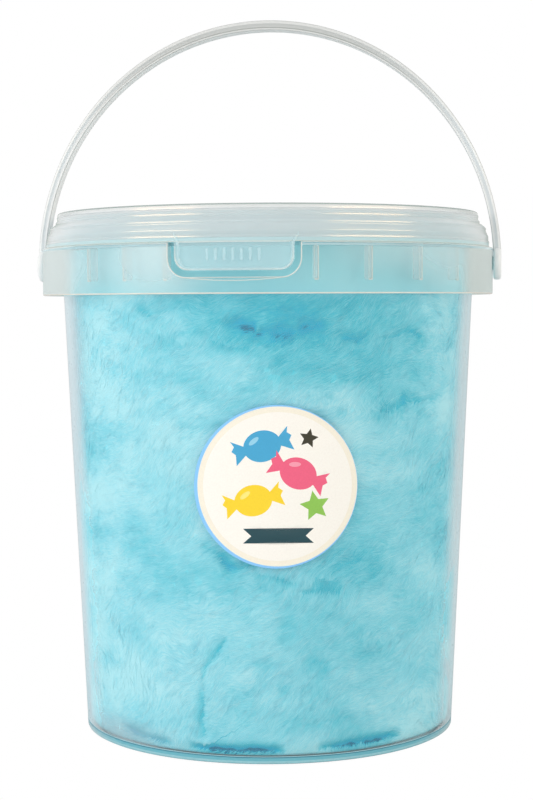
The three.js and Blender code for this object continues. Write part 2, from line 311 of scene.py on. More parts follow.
def turned_to(part, angle):
    """A part that faces the pull tab's way, turned about Z."""
    points, faces = part
    turn = Matrix.Rotation(math.radians(angle), 3, "Z")
    return np.array(points) @ np.array(turn).T, faces


# Noise


def soft_noise(points, seed):
    """Smooth noise from -1 to 1 at an array of points in space."""
    cell = np.floor(points).astype(np.int64)
    part = points - cell
    ease = part**3 * (part * (part * 6 - 15) + 10)
    total = np.zeros(len(points))
    for corner in product((0, 1), repeat=3):
        mix = (cell + corner) @ np.array((73856093, 19349663, 83492791)) + seed * 2654435761
        mix = (mix ^ (mix >> 13)) * 1274126177 & 0xFFFFFFFF
        mix = (mix ^ (mix >> 16)) * 2246822519 & 0xFFFFFFFF
        value = (mix ^ (mix >> 15)) / 0xFFFFFFFF * 2 - 1
        total += value * np.prod(np.where(corner, ease, 1 - ease), axis=1)
    return total


def layered_noise(points, seed, layers=3):
    """Noise with finer and weaker layers on it."""
    shares = [0.5**k for k in range(layers)]
    total = sum(s * soft_noise(points * 2**k, seed + k) for k, s in enumerate(shares))
    return total / sum(shares)


def smooth_step(low, high, value):
    """0 below low, 1 above high and a soft rise between."""
    t = np.clip((value - low) / (high - low), 0, 1)
    return t * t * (3 - 2 * t)


# Materials


class Nodes:
    """A material's node tree, with short ways to add and link nodes."""

    def __init__(self, name):
        self.material = bpy.data.materials.new(name)
        self.material.use_nodes = True
        self.tree = self.material.node_tree
        self.tree.nodes.clear()
        self.output = self.add("OutputMaterial")

    def plug(self, socket, value):
        """Links a socket to another, or sets it to a number, vector or colour."""
        if isinstance(value, bpy.types.NodeSocket):
            self.tree.links.new(value, socket)
        else:
            socket.default_value = value

    def add(self, kind, *inputs, **settings):
        """A new node with its settings and the first of its inputs."""
        node = self.tree.nodes.new("ShaderNode" + kind)
        for key, value in settings.items():
            setattr(node, key, value)
        for socket, value in zip(node.inputs, inputs):
            self.plug(socket, value)
        return node

    def set(self, node, **values):
        """Sets a node's inputs by their names."""
        for key, value in values.items():
            self.plug(node.inputs[key.replace("_", " ")], value)
        return node

    def shader(self, kind, **values):
        return self.set(self.add(kind), **values).outputs[0]

    def position(self):
        return self.add("NewGeometry").outputs["Position"]

    def noise(self, scale, detail=2.0, roughness=0.5):
        node = self.add("TexNoise")
        self.set(node, Vector=self.position(), Scale=scale, Detail=detail, Roughness=roughness)
        return node.outputs["Fac"]

    def strands(self, flow, across, along, detail, roughness):
        """Noise in streaks of the given sizes in millimetres, across and along the flow."""
        node = self.add("TexNoise", noise_dimensions="4D")
        self.set(node, Vector=self.position(), Scale=1 / (along * MM), Detail=detail)
        self.set(node, W=self.math("MULTIPLY", flow, along * MM / across), Roughness=roughness)
        return node.outputs["Fac"]

    def math(self, operation, a, b=0.0, clamp=False):
        return self.add("Math", a, b, operation=operation, use_clamp=clamp).outputs[0]

    def vector_math(self, operation, *values):
        return self.add("VectorMath", *values, operation=operation).outputs

    def total(self, first, *others):
        for other in others:
            first = self.math("ADD", first, other)
        return first

    def spread(self, value, low, high, to_low, to_high, ease="LINEAR"):
        node = self.add("MapRange", interpolation_type=ease)
        self.set(node, Value=value, From_Min=low, From_Max=high, To_Min=to_low, To_Max=to_high)
        return node.outputs["Result"]

    def ramp(self, value, stops):
        node = self.add("ValToRGB", value)
        elements = node.color_ramp.elements
        while len(elements) < len(stops):
            elements.new(0.5)
        for element, (place, colour) in zip(elements, stops):
            element.position = place
            element.color = linear(colour)
        return node.outputs["Color"]

    def bump(self, height, strength, distance):
        node = self.set(self.add("Bump"), Height=height, Strength=strength, Distance=distance)
        return node.outputs["Normal"]

    def mixed(self, share, first, second):
        """A share of the second shader over the first."""
        return self.add("MixShader", share, first, second).outputs[0]

    def finish(self, shader):
        self.plug(self.output.inputs["Surface"], shader)
        return self.material


def linear(colour):
    """A screen colour of 0 to 255 as a linear one with alpha."""
    shares = [c / 255 for c in colour]
    return (*[s / 12.92 if s <= 0.04045 else ((s + 0.055) / 1.055) ** 2.4 for s in shares], 1.0)


def clear_plastic(
    name,
    tint,
    veil,
    edge_veil,
    edge=(0.5, 1.0),
    roughness=0.2,
    gloss=0.035,
    rim=None,
    rim_span=(0.8, 0.98),
    hazes=(),
):
    """Translucent plastic: a milky veil over what is behind it, thicker at glancing angles, with
    an outline of the rim's colour where it is seen along its wall. Each painted sheen of (angle,
    height, reach, half height, amount) makes the veil thicker about a place on the wall, as a
    painted reflection of a soft box."""
    n = Nodes(name)
    grain = n.noise(700.0)
    facing = n.set(n.add("LayerWeight"), Blend=0.5).outputs["Facing"]
    rise = n.spread(facing, *edge, veil, edge_veil, "SMOOTHSTEP")
    # Painted sheen: about each place the veil thickens into a milky patch that stands in for a
    # soft box's broad reflection.
    for angle, height, reach, half_height, amount in hazes:
        middle = Vector(round_axis(math.radians(angle), PAINTED_SHEEN_RADIUS, height)[0]) * MM
        shrink = Vector((1 / reach, 1 / reach, 1 / half_height)) / MM
        away = n.vector_math("SUBTRACT", n.position(), middle)["Vector"]
        away = n.vector_math("MULTIPLY", away, shrink)["Vector"]
        gap = n.vector_math("LENGTH", away)["Value"]
        more = n.spread(gap, 0.0, 1.0, amount, 0.0, "SMOOTHSTEP")
        rise = n.math("ADD", rise, more, clamp=True)
    skin = n.shader(
        "BsdfPrincipled",
        Base_Color=linear(tint),
        Roughness=n.spread(grain, 0.3, 0.7, roughness * 0.9, roughness * 1.1),
        IOR=1.49,
        Normal=n.bump(grain, 0.05, 0.00005),
    )
    shader = n.mixed(rise, n.shader("BsdfTransparent", Color=(0.985, 0.995, 0.995, 1.0)), skin)
    if rim:
        thin = n.spread(facing, *rim_span, 0.0, 0.8, "SMOOTHSTEP")
        shader = n.mixed(thin, shader, n.shader("BsdfDiffuse", Color=linear(rim)))
    shine = n.shader("BsdfGlossy", Color=(1.0, 0.99, 0.96, 1.0), Roughness=roughness)
    rise = n.math("MULTIPLY", n.math("POWER", facing, 5.0), 10 * gloss)
    return n.finish(n.mixed(n.math("ADD", rise, gloss, clamp=True), shader, shine))


def candy_floss(name):
    """Spun sugar, streaked along its strands, with painted shade: pale where it stands out and a
    deeper blue in its folds.
    """
    n = Nodes(name)
    tone, flow, gap, depth = (
        n.add("Attribute", attribute_name=value).outputs["Fac"]
        for value in ("tone", "flow", "gap", "depth")
    )
    bend = n.math("MULTIPLY", n.noise(45.0), 24.0)
    tuft = n.noise(170.0, 5.0, 0.7)
    layers = (
        (n.strands(n.math("ADD", flow, bend), 0.2, 1.9, 1.0, 0.6), 0.15),
        (n.strands(flow, 0.45, 4.4, 2.0, 0.6), 0.08),
        (n.strands(flow, 2.2, 6.0, 5.0, 0.7), 0.08),
        (tuft, 0.07),
    )
    fuzz = n.total(*(n.spread(value, 0.3, 0.7, -reach, reach) for value, reach in layers))
    # Painted shade: the colour deepens across each crease, sharply on one side and softly on the
    # other, with a soft halo about it.
    ragged = n.math("ADD", gap, n.math("MULTIPLY", fuzz, 2.6))
    soft = n.math("POWER", 0.38, n.math("MAXIMUM", ragged, 0.0))
    sharp = n.spread(ragged, -0.35, 0.05, 0.0, 1.0, "SMOOTHSTEP")
    cloud = n.spread(n.noise(330.0), 0.35, 0.65, 0.7, 1.2)
    halo = n.spread(n.math("ABSOLUTE", gap), 0.0, 3.2, 0.2, 0.0, "SMOOTHSTEP")
    fold_shade = n.math("ADD", n.math("MULTIPLY", n.math("MINIMUM", soft, sharp), cloud), halo)
    fold_shade = n.math("MULTIPLY", fold_shade, depth)
    strength = n.math("ADD", n.math("MULTIPLY", fold_shade, 0.9), n.spread(tone, 0.3, 0.75, 0.75, 1.2))
    mixed = n.total(tone, n.math("MULTIPLY", fuzz, strength), fold_shade)
    blues = (
        (0.0, (186, 240, 248)),
        (0.175, (150, 227, 240)),
        (0.35, (106, 212, 228)),
        (0.525, (54, 196, 216)),
        (0.7, (12, 186, 216)),
        (0.85, (0, 182, 218)),
        (1.0, (0, 126, 160)),
    )
    body = n.shader(
        "BsdfPrincipled",
        Base_Color=n.ramp(n.math("MULTIPLY", mixed, 0.7), blues),
        Roughness=0.9,
        Specular_IOR_Level=0.1,
        Sheen_Weight=0.05,
        Sheen_Roughness=0.5,
        Normal=n.bump(tuft, 0.25, 0.0003),
    )
    return n.finish(body)


def milky(name, low, high):
    """Milky plastic, of one colour at the handle's feet and another at its top."""
    n = Nodes(name)
    height = n.add("SeparateXYZ", n.position()).outputs["Z"]
    rise = n.spread(height, 0.165, 0.205, 0.0, 1.0, "SMOOTHSTEP")
    body = n.shader(
        "BsdfPrincipled",
        Base_Color=n.ramp(rise, [(0.0, low), (1.0, high)]),
        Roughness=n.spread(n.noise(400.0), 0.3, 0.7, 0.38, 0.44),
        Specular_IOR_Level=0.3,
    )
    return n.finish(body)


def printed(name, colour):
    """A printed colour on satin sticker paper."""
    n = Nodes(name)
    fleck = n.noise(2500.0)
    shade = n.spread(fleck, 0.3, 0.7, 0.97, 1.02)
    tint = n.add("MixRGB", 1.0, linear(colour), shade, blend_type="MULTIPLY").outputs[0]
    normal = n.bump(fleck, 0.1, 0.0001)
    return n.finish(n.shader("BsdfPrincipled", Base_Color=tint, Roughness=0.42, Normal=normal))


def dressed(piece, materials, body, slot, *nodes):
    """Gives a piece its materials and its place in the part."""
    for material in materials:
        piece.data.materials.append(material)
    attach(piece, body)
    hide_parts(*nodes)


# Plastics

WALL_RIM = (200, 205, 205)
COLLAR_RIM = (203, 213, 212)
LID_RIM = (168, 182, 177)
# Painted reflections: milky patches on the wall, collar and neck that stand in for the soft boxes'
# broad sheen, centred at this radius, each of (angle, height, reach, half height, amount).
PAINTED_SHEEN_RADIUS = 62.0
WALL_PAINTED_SHEENS = ((-70, 115, 24, 45, 0.3), (-74, 50, 22, 55, 0.2), (-45, 4, 34, 7, 0.3))
COLLAR_PAINTED_SHEENS = (
    (-50, 136, 26, 16, 0.32),
    (-20, 138, 24, 17, 0.38),
    (38, 141, 24, 11, 0.14),
    (57, 139, 24, 15, 0.3),
    (120, 138, 24, 12, 0.2),
    (175, 140, 26, 11, 0.2),
    (230, 138, 24, 12, 0.2),
)


def look(tint, veil, edge_veil, **more):
    """A clear plastic's settings."""
    return {"tint": tint, "veil": veil, "edge_veil": edge_veil, **more}


TUB_PLASTICS = {
    "tub_clear": look(
        (205, 226, 234),
        0.05,
        0.8,
        edge=(0.62, 0.86),
        roughness=0.3,
        gloss=0.012,
        rim=WALL_RIM,
        rim_span=(0.9, 0.99),
        hazes=WALL_PAINTED_SHEENS,
    ),
    # Painted highlight: a bright cream band along the collar's lower edge.
    "collar_edge_highlight": look((246, 236, 224), 0.62, 0.85),
    "tub_base": look(
        (104, 190, 207), 0.8, 0.9, gloss=0.02, rim=(176, 200, 206), rim_span=(0.45, 0.9)
    ),
    # Painted shade: a dark line at the floor's level, and a dark band where the base meets the
    # ground.
    "tub_floor_shade_line": look((20, 122, 148), 0.9, 0.94, roughness=0.5, gloss=0.0),
    "tub_foot_shade": look((90, 142, 150), 0.8, 0.9),
    "collar_clear": look(
        (238, 252, 255),
        0.03,
        0.7,
        edge=(0.5, 0.92),
        roughness=0.38,
        gloss=0.012,
        rim=COLLAR_RIM,
        rim_span=(0.48, 0.62),
        hazes=COLLAR_PAINTED_SHEENS,
    ),
    # Its thick pale veil is painted light: it lifts the neck where it sits in the lid's and
    # collar's shade. It carries the collar's painted sheens too.
    "neck_clear": look(
        (178, 246, 255),
        0.5,
        0.8,
        edge=(0.55, 0.95),
        roughness=0.35,
        gloss=0.01,
        hazes=COLLAR_PAINTED_SHEENS,
    ),
    # Painted highlight: the bright lines on the collar's top edge, round its notch and down its
    # webs.
    "collar_highlight_line": look((244, 244, 238), 0.62, 0.8),
    "flange_clear": look((225, 246, 250), 0.1, 0.12, roughness=0.4, gloss=0.0),
    "tub_floor": look((172, 222, 230), 0.8, 0.9, gloss=0.01),
    # Painted highlight: a paler band low on the base.
    "tub_base_highlight": look((148, 212, 224), 0.8, 0.9, rim=(186, 206, 210), rim_span=(0.45, 0.9)),
    # Painted light: a paler, thicker veil on the collar's top band, which lies in the flange's
    # shade.
    "collar_top_painted_light": look((222, 246, 252), 0.5, 0.8, gloss=0.01),
}
LID_PLASTICS = {
    "lid_milky": look((237, 241, 243), 0.42, 0.8, edge=(0.4, 0.95), roughness=0.18, rim=LID_RIM),
    # Painted highlight: a cream line along the lid's lower edge.
    "lid_highlight_line": look((240, 238, 228), 0.6, 0.8),
    "lid_low": look((228, 252, 255), 0.46, 0.7, edge=(0.4, 0.95)),
    # Painted shade: a dark line along the lid's top edge.
    "lid_top_shade_line": look((160, 175, 170), 0.75, 0.85),
    "lid_corner": look((222, 226, 225), 0.7, 0.85, edge=(0.4, 0.95), roughness=0.3, gloss=0.008),
}
EDGE_PLASTICS = {
    "rib_clear": look((240, 247, 248), 0.24, 0.42, edge=(0.15, 0.8), roughness=0.3, gloss=0.005),
    "tab_milky": look((220, 248, 255), 0.26, 0.5),
    # Painted highlight: bright lines round the tab's foot and across it under the lid.
    "tab_highlight_line": look((246, 249, 246), 0.62, 0.8),
}
# The handle's milky plastic in lit and shaded copies, each with its colour at the feet and at the
# top, mostly darker towards the top: painted shade in the groove, in a dark line beside it and on
# the outline, and painted light on the inner side face
HANDLE_SHADED_PLASTICS = {
    "lip": ((240, 243, 243), (220, 222, 221)),
    "groove": ((216, 223, 226), (196, 199, 198)),
    "line": ((228, 232, 234), (166, 171, 169)),
    "inside": ((255, 255, 255), (252, 254, 253)),
    "outline": ((210, 213, 213), (208, 210, 209)),
}


# Tub


def tub_outline():
    """The tub's half section: wall, floor, collar, bead and rim."""
    neck = wall_radius(NECK_HEIGHT)
    flange = NECK_HEIGHT - FLANGE_THICKNESS
    skirt_inner = COLLAR_RADIUS - COLLAR_THICKNESS
    bead = neck + BEAD_REACH
    inner = neck - WALL
    stripes = (BASE_STRIPE, FLOOR_LINE, FLOOR_LINE + FLOOR_LINE_WIDTH, FLOOR_TOP + 0.05)
    return rounded(
        [
            (0, FOOT_RISE, 0),
            (49.9, FOOT_RISE, 0.5),
            (50.8, 0, 0.4),
            (BASE_RADIUS + 0.05, 0, BASE_CORNER),
            *((wall_radius(height), height, 0) for height in (*stripes, COLLAR_BOTTOM)),
            (wall_radius(flange), flange, 0.5),
            (skirt_inner, flange, 0.7),
            (skirt_inner, COLLAR_BOTTOM, 0.4),
            (COLLAR_RADIUS, COLLAR_BOTTOM, 0.4),
            (COLLAR_RADIUS, flange - 0.1, 0),
            (COLLAR_RADIUS, NECK_HEIGHT, 0.5),
            (neck, NECK_HEIGHT, 0.4),
            (neck, 143.0, 0.4),
            (bead, 143.6, 0.4),
            (bead, 144.6, 0.5),
            (neck, 146.0, 0.6),
            (neck, RIM_HEIGHT, 0.45),
            (inner, RIM_HEIGHT, 0.45),
            (inner, NECK_HEIGHT, 0),
            (wall_radius(FLOOR_TOP) - WALL, FLOOR_TOP, 0.3),
            (0, FLOOR_TOP, 0),
        ]
    )


def collar_rib(angle):
    """A stiffening web inside the collar, under the flange."""
    half, outer = RIB_THICKNESS / 2, RIB_END_RADIUS
    low = (-half, -outer, RIB_BOTTOM)
    high = (half, RIB_REACH - outer, NECK_HEIGHT - FLANGE_THICKNESS + 0.1)
    return turned_to(box_part(low, high, 0.3), angle)


def rib_highlights(angle):
    """Painted highlights: bright beads down the two sides of a web's outer end, the wider one on
    the side away from the camera, and one on its small round foot.
    """
    half, outer = RIB_THICKNESS / 2, RIB_END_RADIUS
    heights = np.linspace(RIB_BOTTOM + 0.15, NECK_HEIGHT - FLANGE_THICKNESS - 0.2, 12)
    away = math.copysign(half, angle - CAMERA_TURN)
    for aside, width in ((away, 0.36), (-away, 0.16)):
        yield turned_to(ridge(np.full(12, aside), heights, outer - 0.1, width, 8), angle)
    foot = np.linspace(-half, half, 6)
    yield turned_to(ridge(foot, np.full(6, RIB_BOTTOM + 0.1), outer - 0.1, 0.5, 8), angle)


def notch_highlights():
    """Painted highlights: a bright line round the rim of the collar's notch, and one along the lip
    that sags a little under it.
    """
    rim = tongue_outline(NOTCH_HALF_WIDTH, NOTCH_BOTTOM, NECK_HEIGHT - 0.2, NOTCH_CORNER, 14)
    yield ridge(*rim.T, COLLAR_RADIUS - 0.12, 0.36)
    share = np.linspace(-1, 1, 25)
    sag = 0.8 * (1 - share**2)
    yield ridge(13 * share, NOTCH_BOTTOM - sag, COLLAR_RADIUS - 0.12, 0.26)


def make_tub():
    """The tub with its collar notched for the pull tab, its webs and painted highlights along its
    edges.
    """
    tub = mesh_object("tub_shell", *revolved(tub_outline()))
    notch = tongue_outline(NOTCH_HALF_WIDTH, NOTCH_BOTTOM, NECK_HEIGHT + 2, NOTCH_CORNER)
    neck = wall_radius(NECK_HEIGHT)
    flange = NECK_HEIGHT - FLANGE_THICKNESS
    cut(tub, mesh_object("notch", *prism(notch, -neck - 0.9, -COLLAR_RADIUS - 3)))
    tub.data.set_sharp_from_angle(angle=math.radians(35))
    wide = COLLAR_RADIUS + 1
    skirt = COLLAR_RADIUS - 2.5
    line_top = FLOOR_LINE + FLOOR_LINE_WIDTH
    above = NECK_HEIGHT + 0.1
    marked(
        tub,
        TUB_PLASTICS,
        ("collar_clear", skirt, wide, COLLAR_BOTTOM - 0.1, above),
        # painted highlight along the collar's lower edge
        ("collar_edge_highlight", skirt, wide, COLLAR_BOTTOM - 0.1, COLLAR_BOTTOM + 0.35),
        # painted highlight along the collar's top edge
        ("collar_highlight_line", COLLAR_RADIUS - 0.9, wide, NECK_HEIGHT - 0.3, NECK_HEIGHT - 0.02),
        ("tub_base", 0, wide, -0.1, FLOOR_LINE),
        # painted highlight low on the base
        ("tub_base_highlight", BASE_RADIUS - 1, wide, 0.3, BASE_STRIPE - 0.01),
        # painted shade at the floor's level and at the ground
        ("tub_floor_shade_line", BASE_RADIUS, wide, FLOOR_LINE + 0.02, line_top - 0.02),
        ("tub_floor", BASE_RADIUS, wide, line_top + 0.01, FLOOR_TOP + 0.04),
        ("tub_foot_shade", BASE_RADIUS - 2, wide, -0.1, 0.35),
        ("flange_clear", neck + 0.3, COLLAR_RADIUS - 0.8, NECK_HEIGHT - 1, above),
        ("neck_clear", neck - 1.3, neck + 0.2, COLLAR_BOTTOM, RIM_HEIGHT + 0.1),
        # painted light on the collar's top band
        ("collar_top_painted_light", COLLAR_RADIUS - 0.1, wide, flange - 0.05, NECK_HEIGHT - 0.35),
        ("neck_clear", neck, neck + BEAD_REACH + 0.1, NECK_HEIGHT + 0.2, RIM_HEIGHT + 0.1),
    )
    angles = (*FRONT_RIB_ANGLES, *BACK_RIB_ANGLES, *(-angle for angle in BACK_RIB_ANGLES))
    ribs = [collar_rib(angle) for angle in angles]
    highlight_beads = [line for angle in angles for line in rib_highlights(angle)]
    return (
        tub,
        mesh_object("collar_ribs", *joined(ribs)),
        mesh_object("collar_highlights", *joined([*notch_highlights(), *highlight_beads])),
    )


# Lid


def lid_outline():
    """The lid's half section: recessed panel, plug, channel and outer skirt."""
    neck = wall_radius(NECK_HEIGHT)
    plug = neck - WALL - 0.3
    channel = neck + 0.3
    channel_top = LID_TOP - 1.2
    under = PANEL_TOP - PANEL_THICKNESS
    inside = LID_SKIRT_RADIUS - 1
    return rounded(
        [
            (0, under + 0.6, 0),
            (49.0, under + 0.6, 0.6),
            (50.0, under, 0.6),
            (plug, under, 0.7),
            (plug, channel_top, 0.4),
            (channel, channel_top, 0.4),
            (channel, 148.3, 0.5),
            (inside - 0.9, 145.0, 0.6),
            (inside - 0.9, 143.7, 0.4),
            (inside - 1.9, 143.0, 0.4),
            (inside - 1.9, 142.4, 0.3),
            (inside, LID_SKIRT_BOTTOM, 0.3),
            (LID_SKIRT_RADIUS - 0.05, LID_SKIRT_BOTTOM, 0.3),
            (LID_SKIRT_RADIUS - 0.08, 142.2, 0.08),
            (LID_SKIRT_RADIUS, 142.28, 0.09),
            (65.4, 142.8, 0.08),
            (65.22, 142.88, 0.06),
            (65.19, 144.2, 0.3),
            (64.45, 145.8, 0.25),
            (64.43, 146.2, 0.08),
            (64.52, 146.26, 0.1),
            (64.42, 146.7, 0.08),
            (63.6, 147.4, 0.3),
            (62.62, 148.05, 0.25),
            (62.6, 148.22, 0.05),
            (62.67, 148.28, 0.1),
            (62.59, 148.72, 0.08),
            (LID_RIM_RADIUS - 0.08, 148.85, 0.08),
            (LID_RIM_RADIUS - 0.1, 149.85, 0.08),
            (LID_RIM_RADIUS, 149.92, 0.08),
            (62.22, 150.36, 0.08),
            (62.0, LID_TOP, 0.45),
            (plug - 1.0, LID_TOP, 0.8),
            (plug - 1.2, PANEL_TOP, 0.7),
            (50.0, PANEL_TOP, 0.6),
            (49.0, PANEL_TOP + 0.6, 0.6),
            (0, PANEL_TOP + 0.6, 0),
        ]
    )


def tab_plate(outer, thickness, top, columns=48, rows=10):
    """A curved tongue that hangs from the lid's skirt."""
    across = TAB_HALF_WIDTH * np.sin(np.linspace(-math.pi / 2, math.pi / 2, columns))
    past = np.maximum(np.abs(across) - (TAB_HALF_WIDTH - TAB_CORNER), 0)
    bottom = TAB_BOTTOM + TAB_CORNER - np.sqrt(np.maximum(TAB_CORNER**2 - past**2, 0))
    points = []
    for radius in (outer, outer - thickness):
        for share in np.linspace(0, 1, rows):
            points.extend(on_cylinder(across, bottom + (top - bottom) * share, radius))
    sheet = columns * rows
    faces = []
    for j in range(rows - 1):
        for i in range(columns - 1):
            a = j * columns + i
            faces.append((a, a + 1, a + 1 + columns, a + columns))
            faces.append(tuple(sheet + k for k in (a + columns, a + 1 + columns, a + 1, a)))
    edge = [*range(columns)]
    edge += [columns - 1 + columns * j for j in range(1, rows)]
    edge += [sheet - 1 - i for i in range(1, columns)]
    edge += [columns * j for j in range(rows - 2, 0, -1)]
    for a, b in zip(edge, edge[1:] + edge[:1]):
        faces.append((b, a, a + sheet, b + sheet))
    return points, faces


def grip_bars(radius, count=7, pitch=2.3, bottom=136.2, top=139.4, width=0.9):
    """A row of short upright bars on the tab."""
    for i in range(count):
        across = (i - (count - 1) / 2) * pitch
        height = np.linspace(bottom, top, 6)
        yield ridge(np.full(6, across), height, radius, width, 12)


def make_lid():
    """The lid, its pull tab with a raised border and grip bars, and painted highlights along the
    tab's foot and across its top.
    """
    lid = mesh_object("lid_shell", *revolved(lid_outline()))
    low = LID_SKIRT_BOTTOM
    marked(
        lid,
        LID_PLASTICS,
        ("lid_low", LID_SKIRT_RADIUS - 3.5, LID_SKIRT_RADIUS + 0.5, low - 0.1, low + 1.1),
        # painted highlight along the lid's lower edge
        ("lid_highlight_line", LID_SKIRT_RADIUS - 0.5, LID_SKIRT_RADIUS + 0.5, low - 0.1, low + 0.3),
        # painted shade along the lid's top edge
        ("lid_top_shade_line", LID_RIM_RADIUS - 0.8, LID_RIM_RADIUS + 0.2, LID_TOP - 0.4, LID_TOP + 0.1),
        ("lid_corner", LID_RIM_RADIUS - 0.8, LID_RIM_RADIUS + 0.2, LID_TOP - 1.15, LID_TOP - 0.4),
    )
    outer = COLLAR_RADIUS - 0.5
    plate = tab_plate(outer, 1.1, low + 1.0)
    inset = 0.45
    sides = tongue_outline(
        TAB_HALF_WIDTH - inset, TAB_BOTTOM + inset, TAB_ROOT, TAB_CORNER - inset, 14
    )
    ends = [np.linspace(*pair, 12) for pair in (sides[:2], sides[-2:])]
    sides = np.vstack((ends[0], sides[2:-2], ends[1]))
    climb = np.interp(sides[:, 1], (low, TAB_ROOT), (outer - 0.15, 64.9))
    flare = TAB_FLARE * smooth_step(TAB_FLARE_BOTTOM, TAB_ROOT, sides[:, 1])
    taper = 1 - 0.75 * smooth_step(low + 0.3, TAB_ROOT, sides[:, 1])
    narrower = np.where(sides[:, 0] < 0, TAB_LEFT_SHARE, 1)
    across = sides[:, 0] * narrower + np.sign(sides[:, 0]) * flare
    rim = ridge(across, sides[:, 1], climb, 0.9, 14, taper)
    tab = mesh_object("pull_tab", *joined([plate, rim, *grip_bars(outer - 0.05)]))
    foot = tongue_outline(TAB_HALF_WIDTH - 0.35, TAB_BOTTOM + 0.35, 140, TAB_CORNER - 0.3, 14)
    thin = 1 - 0.6 * smooth_step(TAB_BOTTOM + 2.5, 139, foot[:, 1])
    crease = np.linspace((1.2 - TAB_HALF_WIDTH, 141), (TAB_HALF_WIDTH - 1.2, 141), 30)
    # Painted highlights round the tab's foot and across it.
    edges = [
        ridge(*foot.T, outer + 0.1, 0.36, 10, thin),
        ridge(*crease.T, outer, 0.2),
    ]
    return lid, tab, mesh_object("tab_highlights", *joined(edges))


# Handle


def make_handle(steps=160):
    """The bail: a grooved strap in half an ellipse, with an eye and a pin at each end."""
    turns = np.linspace(0, math.pi, steps)
    from_foot = np.minimum(turns, math.pi - turns)
    groove = GROOVE_DEPTH * smooth_step(math.radians(5), math.radians(9), from_foot)
    # The strap's face from its inner to its outer edge: how far the edges and the groove sink in,
    # and the plastic from each place to the next.
    shares = np.array([0.0, 0.08, 0.2, 0.32, 0.56, 0.68, 0.9, 1.0])
    edges = np.array([0.32, 0.04, 0, 0, 0, 0, 0.04, 0.32])
    dips = np.array([0, 0, 0, 1, 1, 0, 0, 0])
    plastics = ["outline", "lip", "line", "groove", "groove", "lip", "outline"]
    reach = np.array((HANDLE_HALF_WIDTH, HANDLE_RISE))
    width = np.array((HANDLE_FOOT, HANDLE_TOP))
    depth = HANDLE_DEPTH / 2 - edges - groove[:, None] * dips
    depth = np.hstack((-depth, depth[:, ::-1]))
    shares = np.concatenate((shares, shares[::-1]))
    round_arch = np.column_stack((np.cos(turns), np.sin(turns)))[:, None]
    arch = round_arch * (reach - width * (1 - shares[:, None]))
    rings = np.dstack((arch[..., 0], depth, PIVOT_HEIGHT + arch[..., 1]))
    count = len(shares)
    parts = [(rings.reshape(-1, 3), flipped(tube_faces(steps, count)))]
    end = rounded(
        [
            (0, PIN_END, 0),
            (PIN_HEAD_RADIUS, PIN_END, 0.4),
            (PIN_HEAD_RADIUS, PIN_HEAD_OUTSIDE, 0.4),
            (PIN_RADIUS, PIN_HEAD_OUTSIDE, 0.2),
            (PIN_RADIUS, HANDLE_HALF_WIDTH - HANDLE_FOOT, 0.3),
            (EYE_RADIUS, HANDLE_HALF_WIDTH - HANDLE_FOOT, 0.9),
            (EYE_RADIUS, HANDLE_HALF_WIDTH, 1.1),
            (0, HANDLE_HALF_WIDTH, 0),
        ]
    )
    spin, faces = revolved(end, 48)
    x, y, z = np.array(spin).T
    for side in (-1, 1):
        eye = np.column_stack((side * z, side * y, PIVOT_HEIGHT + x))
        parts.append((eye, flipped(faces)))
    points, faces = joined(parts)
    handle = mesh_object("bail_handle", np.array(points) + (HANDLE_SHIFT, 0, 0), faces, 50)
    names = list(HANDLE_SHADED_PLASTICS)
    # The outer side face takes the lip's plastic. The inner side face takes the white inside one,
    # painted light on a face the lamps hardly reach.
    round_strap = [names.index(name) for name in (*plastics, "lip", *plastics[::-1], "inside")]
    for i, index in enumerate(round_strap * (steps - 1)):
        handle.data.polygons[2 + i].material_index = index
    return handle


# Candy

CANDY_BOTTOM = FLOOR_TOP - 0.06
CANDY_TOP = 144.9
CANDY_BASE_ROUND = 0.4
CANDY_TOP_ROUND = 3.5
CANDY_REACH = 0.06
CANDY_BASE_ROWS = 5
CANDY_TOP_ROWS = 13
FAR_GAP = 9.0
SMOOTH_SIDES = ((95, 24), (284, 22))
STRAND_SEED = 7
STRAND_PIECES = 4
LONG_SHARE = 0.12
